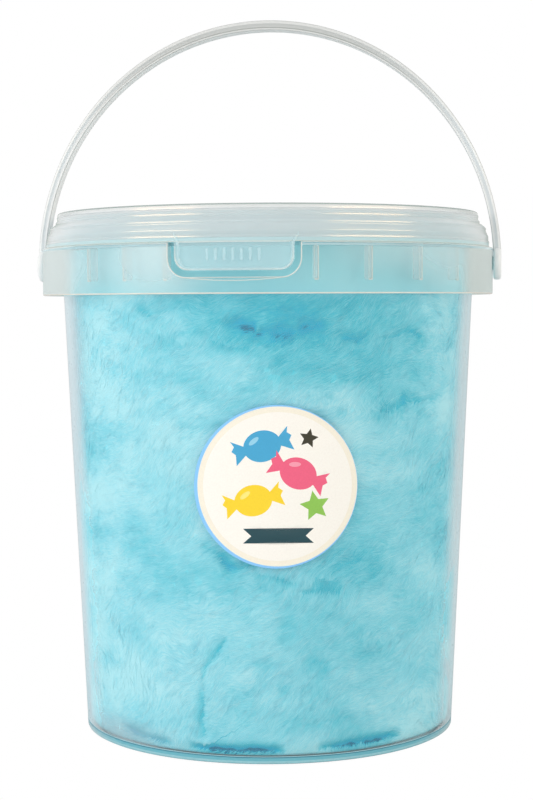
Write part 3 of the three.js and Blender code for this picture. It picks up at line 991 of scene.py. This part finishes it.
# Each crease is sunk into the candy and painted a deeper blue along it, as painted shade.
CREASES = (
    # depth, width, soft side (1 above, -1 below, 0 both), then angle and height along the line
    (1.8, 1.6, 1, (-30.7, 124.8), (-26, 122.8), (-22.1, 121.9), (-18.3, 123.4), (-15.1, 126)),
    (3.2, 1.7, 1, (-2.2, 118.7), (1, 119.7), (4.1, 118.2), (6.9, 115.8), (10.5, 113.7)),
    (1.5, 1.2, -1, (-9.3, 115.4), (-4.4, 114.2), (1.7, 113.4), (6.9, 112.7)),
    (3.4, 1.7, 1, (6, 117.2), (8.1, 115.7), (10.7, 115.3), (13.2, 115.7), (15.1, 117.1)),
    (2.2, 1.2, 0, (15.1, 117.1), (17.2, 119), (20.6, 119.2), (23.6, 118.8), (26.7, 119.5)),
    (2.0, 1.2, 1, (26, 115.6), (29.1, 115.2), (33.2, 114.7), (36.6, 115.6), (39.7, 116)),
    (2.4, 1.2, 1, (39.7, 116), (43, 115), (47.4, 115.7), (51.6, 116.9), (55.9, 115.7)),
    (2.8, 1.7, 1, (38, 96.8), (44.7, 96.2), (49.8, 97.9), (58.4, 98), (68.6, 99.4)),
    (1.6, 2.2, 1, (17.5, 93.5), (21.6, 94.6), (25.5, 95.7), (29.5, 95.9)),
    (1.0, 2.0, 1, (9.9, 107.5), (11.8, 109), (14, 111.6)),
    (1.2, 2.6, 1, (-18, 91), (-14.3, 92.2), (-10.5, 91.8), (-6.9, 92.1), (-3, 91)),
    (0.8, 2.4, 0, (-26, 99), (-20, 98), (-14, 97.5), (-10, 98)),
    (3.0, 2.2, 1, (-12, 59.5), (-7, 57.2), (-4.5, 55), (-2, 53.4), (1, 54.3), (6, 54.6)),
    (1.8, 1.5, -1, (3, 54), (10, 51.5), (15, 50), (18, 48.8)),
    (3.0, 1.9, 1, (16, 47.6), (22, 46.6), (26, 46.6), (29.5, 48.6)),
    (1.4, 1.6, 1, (24, 51.5), (28, 52.6), (33, 55), (37, 57.5)),
    (1.2, 2.0, 1, (30, 49), (36, 48.6), (42, 50.5), (48, 51.5)),
    (1.4, 2.8, 0, (10.5, 33), (12.5, 36), (14.5, 38), (17, 38.4)),
    (1.3, 2.2, 0, (19, 29.5), (21, 28), (23, 26.5), (26, 25.4)),
    (1.0, 2.2, 0, (2.5, 26.5), (6, 27), (9, 26.5)),
    (1.0, 1.8, 0, (9, 20.5), (11.5, 19.7), (14, 19.9)),
    (0.9, 2.2, 0, (33, 29), (36, 29.3), (41, 28.4)),
    (3.0, 1.0, -1, (-4.1, 34.1), (-6.3, 31), (-9.2, 28), (-11.6, 24.4), (-13.1, 21.7)),
    (2.2, 1.7, -1, (-13.1, 21.7), (-11.8, 15.5), (-12.4, 12.4), (-12, 9), (-12.3, 5.6)),
    (1.2, 2.6, 0, (-40, 60), (-34, 58.5), (-28, 58), (-22, 60)),
    (1.0, 2.4, 0, (-37, 35), (-30, 31), (-25, 29)),
    (10.0, 1.2, 1, (-17, 3.4), (-9, 3.1), (-1, 3.0), (6, 3.0), (13, 3.1)),
    (9.2, 1.2, 1, (22, 3.4), (30, 3.5), (37, 3.7), (44, 3.9), (52, 4.3)),
    (4.8, 1.2, 1, (-44, 5.6), (-36, 4.6), (-29, 4), (-22, 3.7)),
)

PATCHES = (
    # angle, height, half width in degrees, half height, and how much deeper the colour is
    (8, 119, 24, 11, 0.52),
    (12, 103, 20, 10, 0.22),
    (45, 112, 22, 16, 0.07),
    (52, 82, 18, 16, 0.13),
    (-4, 52, 16, 8, 0.14),
    (28, 54, 18, 9, 0.2),
    (50, 30, 18, 16, 0.05),
    (-20, 135, 12, 10, 0.1),
    (120, 90, 25, 20, 0.15),
    (180, 120, 30, 16, 0.2),
    (215, 50, 28, 18, 0.18),
    (260, 105, 20, 22, 0.15),
)


def back_creases():
    """Creases on the sides and the back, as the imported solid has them."""
    for i in range(14):
        middle, level = 82 + (i * 61) % 210, 16 + i * 112 / 13
        half, lean = 9 + 1.5 * (i % 4), math.radians(-20 + 11 * (i % 5))
        points = []
        for share in np.linspace(-1, 1, 5):
            turn = math.degrees(half * share * math.cos(lean) / wall_radius(level))
            up = half * share * math.sin(lean) + 1.6 * math.cos(2.2 * share + i)
            points.append((middle + turn, level + up))
        yield (1.8 + 0.5 * (i % 3), 1.6 + 0.3 * (i % 3), 1 - i % 2, *points)


def crease_at(crease, angle, height):
    """How far places on the wall lie from a crease, as a share of its width and above 0 on its
    soft side, and how deep it is at the nearest place on its line."""
    depth, width, soft_side, *line = crease
    line = np.array(line, float)
    reach = wall_radius(line[:, 1].mean())
    across = np.radians((angle - line[0, 0] + 180) % 360 - 180) * reach
    knots = np.column_stack((np.radians(line[:, 0] - line[0, 0]) * reach, line[:, 1]))
    lengths = np.hypot(*np.diff(knots, axis=0).T)
    best = np.full(len(angle), 1e9)
    side, along = np.zeros(len(angle)), np.zeros(len(angle))
    for k, (start, end) in enumerate(zip(knots[:-1], knots[1:])):
        way = end - start
        dx, dy = across - start[0], height - start[1]
        share = np.clip((dx * way[0] + dy * way[1]) / (way @ way), 0, 1)
        gap = np.hypot(dx - share * way[0], dy - share * way[1])
        nearer = gap < best
        best = np.where(nearer, gap, best)
        side = np.where(nearer, np.sign(dy * way[0] - dx * way[1]), side)
        along = np.where(nearer, lengths[:k].sum() + share * lengths[k], along)
    fade = 1 - np.abs(2 * along / lengths.sum() - 1) ** 3
    signed = best if soft_side == 0 else best * side * soft_side
    return signed / width, depth * fade


def flow_at(places):
    """A value that stays the same along the strands, at places in millimetres."""
    swirl = layered_noise(places / 42, 5, 2) * 18 + layered_noise(places / 14, 9, 2) * 4
    return places[:, 2] - 0.55 * places[:, 0] + swirl


def candy_relief(angle, height, places):
    """The candy's sink inside the wall in millimetres, how deep its colour is, and its nearest
    crease's gap and depth. The colour's depth holds painted shade in creases and hollows."""

    def waves(size, seed, layers=2):
        return layered_noise(places / size, seed, layers)

    bend = 2.0 * waves(15, 61) + 1.0 * waves(4.5, 62)
    lift = 1.6 * waves(13, 71) + 1.0 * waves(4.5, 72)
    bent_angle = angle + np.degrees(bend / BASE_RADIUS) * 0.7
    bent_height = height + lift * smooth_step(2, 12, height) * 0.8
    gap = np.full(len(angle), FAR_GAP)
    depth = np.zeros(len(angle))
    for crease in (*CREASES, *back_creases()):
        near, deep = crease_at(crease, bent_angle, bent_height)
        closer = np.abs(near) < np.abs(gap)
        gap, depth = np.where(closer, near, gap), np.where(closer, deep, depth)
    depth = depth * np.clip(0.85 + 0.6 * waves(4, 81), 0.3, 1.3)
    pocket = np.minimum(depth, 3.6) * np.exp(-((gap / np.where(gap > 0, 1.3, 0.6)) ** 2))
    stretched = (places + np.column_stack((bend, bend, lift))) / (26, 26, 14)
    net = np.exp(-((layered_noise(stretched, 91, 3) / 0.05) ** 2))
    net = net * smooth_step(0.0, 0.5, waves(36, 95))
    swell = smooth_step(-0.2, 0.8, waves(18, 21, 3))
    wisps = 0.15 * (1 + waves(2.5, 31))
    cloud = waves((22, 22, 12), 41, 4)
    wisp_tone = waves((10, 10, 5), 47, 3)
    upper = smooth_step(80, 105, height)
    # Painted shade: darker in crease hollows, along the crease net and where the surface sinks in.
    tone = 0.19 + 0.07 * pocket + 0.09 * net + 0.1 * swell
    tone = tone + (0.36 + 0.1 * upper) * cloud + (0.08 + 0.1 * upper) * wisp_tone
    for middle, level, half_width, half_height, change in PATCHES:
        across = ((angle - middle + 180) % 360 - 180) / half_width
        tone = tone + change * np.exp(-(across**2) - ((height - level) / half_height) ** 2)
    # Painted light: paler from 126 mm up, where the lid and collar shade the candy.
    tone = tone - 0.12 * smooth_step(126, 130, height) - 0.14 * smooth_step(130, 136, height)
    # Low on its two sides the candy is pressed smooth. Above that, at the right, it stands back.
    right, left = (np.exp(-(((angle - middle) / reach) ** 4)) for middle, reach in SMOOTH_SIDES)
    bare = right * smooth_step(50, 66, height)
    pressed = left * (1 - smooth_step(66, 84, height)) + right * (1 - smooth_step(44, 58, height))
    keep = 1 - np.maximum(pressed, bare)
    sink = 0.28 * pocket + (0.2 * net + 0.6 * swell + wisps) * keep + 0.85 * bare
    return sink, tone, gap, 0.125 * depth


def candy_skin(around=420, side_rows=215):
    """The candy's angles, radii, heights and values for its material, row by row from the base."""
    bottom_reach = wall_radius(CANDY_BOTTOM) - WALL - CANDY_BASE_ROUND
    top_reach = wall_radius(CANDY_TOP) - WALL - CANDY_TOP_ROUND
    bottom = np.linspace(0.03, 1, CANDY_BASE_ROWS + 1)[:-1]
    rows = [(bottom_reach * share, CANDY_BOTTOM, 0.0) for share in bottom]
    for height in np.linspace(CANDY_BOTTOM, CANDY_TOP, side_rows):
        near_base = max(0.0, 1 - (height - CANDY_BOTTOM) / CANDY_BASE_ROUND)
        near_top = max(0.0, 1 - (CANDY_TOP - height) / CANDY_TOP_ROUND)
        rounding = CANDY_BASE_ROUND * near_base**3 + CANDY_TOP_ROUND * near_top**3
        keep = (1 - near_base**2) * (1 - near_top**2)
        rows.append((wall_radius(height) - WALL + CANDY_REACH - rounding, height, keep))
    top = np.linspace(1, 0.03, CANDY_TOP_ROWS + 1)[1:]
    rows += [(top_reach * share, CANDY_TOP, 0.0) for share in top]
    radius, height, keep = (np.repeat(column, around) for column in np.array(rows).T)
    angles = np.tile(np.linspace(0, 360, around, endpoint=False), len(rows))
    turn = np.radians(angles)
    places = round_axis(turn, radius, height)
    sink, tone, gap, depth = candy_relief(angles, height, places)
    radius = radius - sink * keep
    top = smooth_step(CANDY_TOP - CANDY_TOP_ROUND, CANDY_TOP, height)
    height = height + top * (1.2 * layered_noise(places / 13, 44, 3) - 1.3)
    values = {"tone": tone, "gap": gap, "depth": depth, "flow": flow_at(places)}
    return turn, radius, height, values, len(rows), around


def add_values(piece, name, values):
    """Keeps a value at each of a piece's points, for its material."""
    layer = piece.data.attributes.new(name, "FLOAT", "POINT")
    layer.data.foreach_set("value", np.asarray(values, np.float32))


def make_candy(skin):
    """The pressed mass of candy inside the tub."""
    turn, radius, height, values, rows, around = skin
    points = round_axis(turn, radius, height)
    candy = mesh_object("candy_mass", points, tube_faces(rows, around), 180)
    for name, value in values.items():
        add_values(candy, name, value)
    return candy


def make_strands(name, skin, rng, count=4200, steps=7, thickness=0.05):
    """Fine strands that lie on the candy and follow its flow."""
    _, radius, height, values, rows, around = skin
    side = slice(CANDY_BASE_ROWS + 1, -CANDY_TOP_ROWS - 1)
    levels = height.reshape(rows, around)[side, 0]
    darkness = values["tone"] + values["depth"] * np.exp(-((values["gap"] / 0.9) ** 2))
    grids = [grid.reshape(rows, around)[side] for grid in (radius, darkness)]

    def surface(turn, up):
        """The candy's radius and darkness at places on it."""
        row = np.interp(up, levels, np.arange(len(levels)))
        j = np.clip(row.astype(int), 0, len(levels) - 2)
        column = (np.degrees(turn) % 360) / 360 * around
        i = column.astype(int) % around
        k = (i + 1) % around
        v, u = row - j, column - column.astype(int)
        for grid in grids:
            near = grid[j, i] * (1 - u) + grid[j, k] * u
            far = grid[j + 1, i] * (1 - u) + grid[j + 1, k] * u
            yield near * (1 - v) + far * v

    def flow(turn, up):
        return flow_at(round_axis(turn, wall_radius(up) - WALL, up))

    turn = rng.uniform(0, 2 * math.pi, count)
    up = rng.uniform(4.5, 136, count)
    long = rng.random(count) < LONG_SHARE
    stride = np.where(long, rng.uniform(1.1, 1.8, count), rng.uniform(0.3, 0.8, count))
    stray = rng.normal(0, 0.3, count)
    lift = rng.uniform(-0.02, 0.14, count)
    path, shades = [], []
    for _ in range(steps):
        inner = wall_radius(up) - WALL
        out, shade = surface(turn, up)
        path.append(round_axis(turn, np.minimum(out + lift, inner - 0.02), up))
        shades.append(shade)
        small = 0.4
        here = flow(turn, up)
        slope_across = (flow(turn + small / inner, up) - here) / small
        slope_up = (flow(turn, up + small) - here) / small
        way = np.arctan2(-slope_across, slope_up) + stray
        turn = turn + stride * np.cos(way) / inner
        up = np.clip(up + stride * np.sin(way), 3.5, 137)
    path = np.array(path)
    out = path * (1, 1, 0)
    out /= np.linalg.norm(out, axis=2)[..., None]
    along = np.gradient(path, axis=0)
    along /= np.linalg.norm(along, axis=2)[..., None] + 1e-9
    aside = np.cross(along, out)
    taper = (thickness * np.sin(np.linspace(0.25, math.pi - 0.25, steps)))[:, None, None]
    rings = [
        path + taper * (math.cos(t) * out + math.sin(t) * aside)
        for t in np.radians((60, 180, 300))
    ]
    points = np.stack(rings, axis=2).transpose(1, 0, 2, 3).reshape(-1, 3)
    starts = np.arange(0, len(points), steps * 3)[:, None, None]
    root, tip, *sides = tube_faces(steps, 3)
    faces = []
    for group in (sides, [root], [tip]):
        faces += (starts + np.array(group)).reshape(-1, len(group[0])).tolist()
    strands = mesh_object(name, points, faces, 0)
    change = np.where(long, -0.2, 0.0) + rng.uniform(-0.12, 0.06, count)
    shade = np.array(shades).T + change[:, None]
    add_values(strands, "tone", np.repeat(shade.reshape(-1), 3))
    add_values(strands, "gap", np.full(len(points), FAR_GAP))
    add_values(strands, "flow", flow_at(points))
    return strands


# Label


def on_label(points, lift):
    """Places on the label, from a drawing in millimetres about its centre, onto the wall."""
    points = np.asarray(points, float)
    height = LABEL_HEIGHT + points[:, 1]
    radius = wall_radius(height) + LABEL_GAP + lift
    turn = np.radians(LABEL_ANGLE) + np.arcsin(points[:, 0] / radius)
    return round_axis(turn, radius, height)


def ellipse(x, y, half_width, half_height, tilt=0.0, steps=40):
    """An ellipse's outline."""
    return moved(circle(1, steps) * (half_width, half_height), x, y, tilt)


def moved(points, x, y, tilt=0.0):
    """An outline turned by a tilt in degrees and then moved."""
    c, s = math.cos(math.radians(tilt)), math.sin(math.radians(tilt))
    return np.asarray(points) @ np.array(((c, s), (-s, c))) + (x, y)


def star(x, y, radius, tilt=0.0, tips=5, waist=0.48):
    """A star's outline."""
    turns = np.linspace(0, 2 * math.pi, 2 * tips, endpoint=False) + math.pi / 2
    reach = np.where(np.arange(2 * tips) % 2, radius * waist, radius)
    return moved(np.column_stack((reach * np.cos(turns), reach * np.sin(turns))), x, y, tilt)


def banner(x, y, width, height, notch=2.2):
    """A plain band with swallow-tailed ends."""
    side = [(width / 2, height / 2), (width / 2 - notch, 0), (width / 2, -height / 2)]
    return moved(np.array(side + [(-a, -b) for a, b in side]), x, y)


def wrapped_sweet(x, y, tilt, colour, light):
    """A sweet in a twisted wrapper: two fans, a round body and a glint."""
    fan = [(3.9, 0.6), (7.9, 3.4), (7.3, 1.8), (8.3, 0.7), (7.4, -0.4), (8.0, -3.3), (3.9, -0.6)]
    fans = [moved(np.array(fan) * (side, 1), x, y, tilt) for side in (-1, 1)]
    body = ellipse(x, y, 5.1, 4.2, tilt)
    glint = moved(ellipse(-1.8, 1.9, 1.6, 0.65, 24, 20), x, y, tilt)
    return [(fans[0], colour), (fans[1], colour), (body, colour), (glint, light)]


def label_drawing():
    """The label's outlines and colours, from the back to the front."""
    drawing = [
        (ellipse(0, 0, LABEL_RADIUS, LABEL_RADIUS, steps=120), "rim"),
        (ellipse(0.4, 0.1, 21.5, 21.5, steps=120), "ring"),
        (ellipse(0.4, 0.1, 20.0, 20.0, steps=120), "paper"),
        (banner(0.5, -13.2, 19.0, 4.0), "teal"),
        (star(10.3, -5.2, 4.2, 10), "green"),
        (star(8.6, 13.0, 2.7, -12), "charcoal"),
    ]
    drawing += wrapped_sweet(-3.8, 11.0, 16, "blue", "pale_blue")
    drawing += wrapped_sweet(5.8, 3.6, -24, "pink", "pale_pink")
    drawing += wrapped_sweet(-6.2, -3.6, 14, "yellow", "pale_yellow")
    return drawing


LABEL_COLOURS = {
    "rim": (140, 205, 255),
    "ring": (250, 243, 226),
    "paper": (255, 251, 243),
    "teal": (28, 72, 82),
    "green": (145, 200, 85),
    "charcoal": (55, 52, 36),
    "pink": (245, 100, 135),
    "pale_pink": (252, 160, 180),
    "blue": (70, 170, 215),
    "pale_blue": (150, 212, 238),
    "yellow": (255, 218, 45),
    "pale_yellow": (255, 238, 130),
}


def inside(outline, points):
    """Which points lie inside an outline."""
    x, y = points[:, 0], points[:, 1]
    hits = np.zeros(len(points), bool)
    for (x0, y0), (x1, y1) in zip(outline, np.roll(outline, -1, axis=0)):
        crosses = (y0 > y) != (y1 > y)
        if y0 != y1:
            hits ^= crosses & (x < (x1 - x0) * (y - y0) / (y1 - y0) + x0)
    return hits


def make_label(grid=1.1):
    """A thin curved disc whose front is divided into the colours of its print."""
    drawing = label_drawing()
    points, edges = [], []
    for outline, _ in drawing:
        first = len(points)
        points.extend(outline.tolist())
        edges += [(first + i, first + (i + 1) % len(outline)) for i in range(len(outline))]
    steps = np.arange(-LABEL_RADIUS, LABEL_RADIUS, grid)
    fill = np.array([(x, y) for x in steps for y in steps])
    points.extend(fill[np.hypot(fill[:, 0], fill[:, 1]) < LABEL_RADIUS - grid / 2].tolist())
    found, _, faces, *_ = delaunay_2d_cdt([Vector(p) for p in points], edges, [], 0, 1e-5)
    flat = np.array([tuple(p) for p in found])
    middles = np.array([flat[list(face)].mean(axis=0) for face in faces])
    within = inside(drawing[0][0], middles)
    names = list(LABEL_COLOURS)
    index = np.zeros(len(faces), int)
    for outline, name in drawing:
        index[inside(outline, middles)] = names.index(name)
    kept = [tuple(face) for face, ok in zip(faces, within) if ok]
    count = len(flat)
    back = [tuple(i + count for i in face[::-1]) for face in kept]
    used = {edge for face in kept for edge in zip(face, face[1:] + face[:1])}
    rim = [(a, a + count, b + count, b) for a, b in used if (b, a) not in used]
    points = np.vstack((on_label(flat, LABEL_THICKNESS), on_label(flat, 0)))
    label = mesh_object("label_sticker", points, kept + back + rim)
    for name in names:
        label.data.materials.append(printed("print_" + name, LABEL_COLOURS[name]))
    index = np.concatenate((index[within], np.zeros(len(back) + len(rim), int)))
    label.data.polygons.foreach_set("material_index", index.astype(np.int32))
    return label


# Stage

CAMERA_DISTANCE = 517.5
CAMERA_HEIGHT = 124.3
CAMERA_PITCH = 3.12
CAMERA_ROLL = 0.25
CAMERA_TURN = 8.0
CAMERA_LENS = 77.9
AXIS_ASIDE = -0.55
KEY_COLOUR = (1.0, 0.97, 0.95)
FILL_COLOUR = (1.0, 0.95, 0.82)
GLINT_COLOUR = (1.0, 0.64, 0.32)
LAMP_TARGET = (0.0, 0.0, 0.08)


def make_camera():
    """The photographer's view: a little right of the pull tab and just above the middle."""
    data = bpy.data.cameras.new("camera")
    data.lens = CAMERA_LENS
    data.sensor_width = 36.0
    data.clip_start = 0.01
    camera = bpy.data.objects.new("camera", data)
    bpy.context.scene.collection.objects.link(camera)
    turn = Matrix.Rotation(math.radians(CAMERA_TURN), 4, "Z")
    spot = Vector((AXIS_ASIDE, -CAMERA_DISTANCE, CAMERA_HEIGHT)) * MM
    tip = Matrix.Rotation(math.radians(90 - CAMERA_PITCH), 4, "X")
    roll = Matrix.Rotation(math.radians(-CAMERA_ROLL), 4, "Z")
    camera.matrix_world = turn @ Matrix.Translation(spot) @ tip @ roll
    bpy.context.scene.camera = camera


def make_light(name, place, size, power, colour, glint=False):
    """A soft box that faces the tub. It either lights it or is only seen as a glint in it."""
    data = bpy.data.lights.new(name, "AREA")
    data.shape = "RECTANGLE"
    data.size, data.size_y = size
    data.energy = power
    data.color = colour
    lamp = bpy.data.objects.new(name, data)
    lamp.location = place
    way = Vector(LAMP_TARGET) - Vector(place)
    lamp.rotation_euler = way.to_track_quat("-Z", "Y").to_euler()
    lamp.visible_diffuse = not glint
    lamp.visible_glossy = glint
    bpy.context.scene.collection.objects.link(lamp)


def make_stage():
    """A white room: pale floor, white surround, a soft box at each side and a glint over it."""
    world = bpy.data.worlds.new("studio")
    bpy.context.scene.world = world
    world.use_nodes = True
    tree = world.node_tree
    back = tree.nodes["Background"]
    back.inputs["Color"].default_value = (1, 1, 1, 1)
    path = tree.nodes.new("ShaderNodeLightPath")
    glow = tree.nodes.new("ShaderNodeMapRange")
    glow.inputs["To Min"].default_value = 0.78
    glow.inputs["To Max"].default_value = 1.0
    tree.links.new(path.outputs["Is Camera Ray"], glow.inputs["Value"])
    tree.links.new(glow.outputs["Result"], back.inputs["Strength"])
    points = [(-3, -3, 0), (3, -3, 0), (3, 3, 0), (-3, 3, 0)]
    floor = mesh_object("floor", np.array(points) * 1000, [(0, 1, 2, 3)])
    n = Nodes("floor_paint")
    seen = n.add("LightPath").outputs["Is Camera Ray"]
    paint = n.shader("BsdfDiffuse", Color=(0.75, 0.75, 0.75, 1))
    white = n.shader("Emission", Color=(1, 1, 1, 1), Strength=1.0)
    floor.data.materials.append(n.finish(n.mixed(seen, paint, white)))
    make_light("key", (-0.9, -0.78, 0.3), (0.8, 0.6), 5.35, KEY_COLOUR)
    make_light("fill", (1.04, -0.51, 0.3), (1.0, 0.6), 3.1, FILL_COLOUR)
    make_light("key_glint", (-0.9, -0.78, 0.62), (0.8, 0.28), 7.0, GLINT_COLOUR, glint=True)
    make_light("fill_glint", (1.04, -0.51, 0.62), (1.0, 0.22), 8.0, GLINT_COLOUR, glint=True)
    scene = bpy.context.scene
    scene.view_settings.view_transform = "Standard"
    scene.view_settings.look = "None"
    scene.cycles.transparent_max_bounces = 32


# The part

make_camera()
make_stage()

tub_plastics = {name: clear_plastic(name, **values) for name, values in TUB_PLASTICS.items()}
lid_plastics = [clear_plastic(name, **values) for name, values in LID_PLASTICS.items()]
edge_plastics = [clear_plastic(name, **values) for name, values in EDGE_PLASTICS.items()]
handle_plastics = [milky("handle_" + name, *ends) for name, ends in HANDLE_SHADED_PLASTICS.items()]
rib_clear, tab_milky, tab_highlight_line = edge_plastics

tub_shell, collar_ribs, collar_highlights = make_tub()
dressed(tub_shell, tub_plastics.values(), "tub", "tub_plastic", "tub")
dressed(collar_ribs, [rib_clear], "tub", "tub_plastic", "tub")
dressed(collar_highlights, [tub_plastics["collar_highlight_line"]], "tub", "tub_plastic", "tub")

lid_shell, pull_tab, tab_highlights = make_lid()
dressed(lid_shell, lid_plastics, "tub", "lid_plastic", "lid")
dressed(pull_tab, [tab_milky], "tub", "lid_plastic", "lid")
dressed(tab_highlights, [tab_highlight_line], "tub", "lid_plastic", "lid")

dressed(make_handle(), handle_plastics, "handle", "handle_plastic", "handle")

skin = candy_skin()
floss = candy_floss("floss")
dressed(make_candy(skin), [floss], "tub", "candy_floss", "cotton_candy")
rng = np.random.default_rng(STRAND_SEED)
for number in range(STRAND_PIECES):
    strands = make_strands(f"candy_strands_{number + 1}", skin, rng)
    dressed(strands, [floss], "tub", "candy_floss", "cotton_candy")

dressed(make_label(), [], "tub", "label_paper", "label")
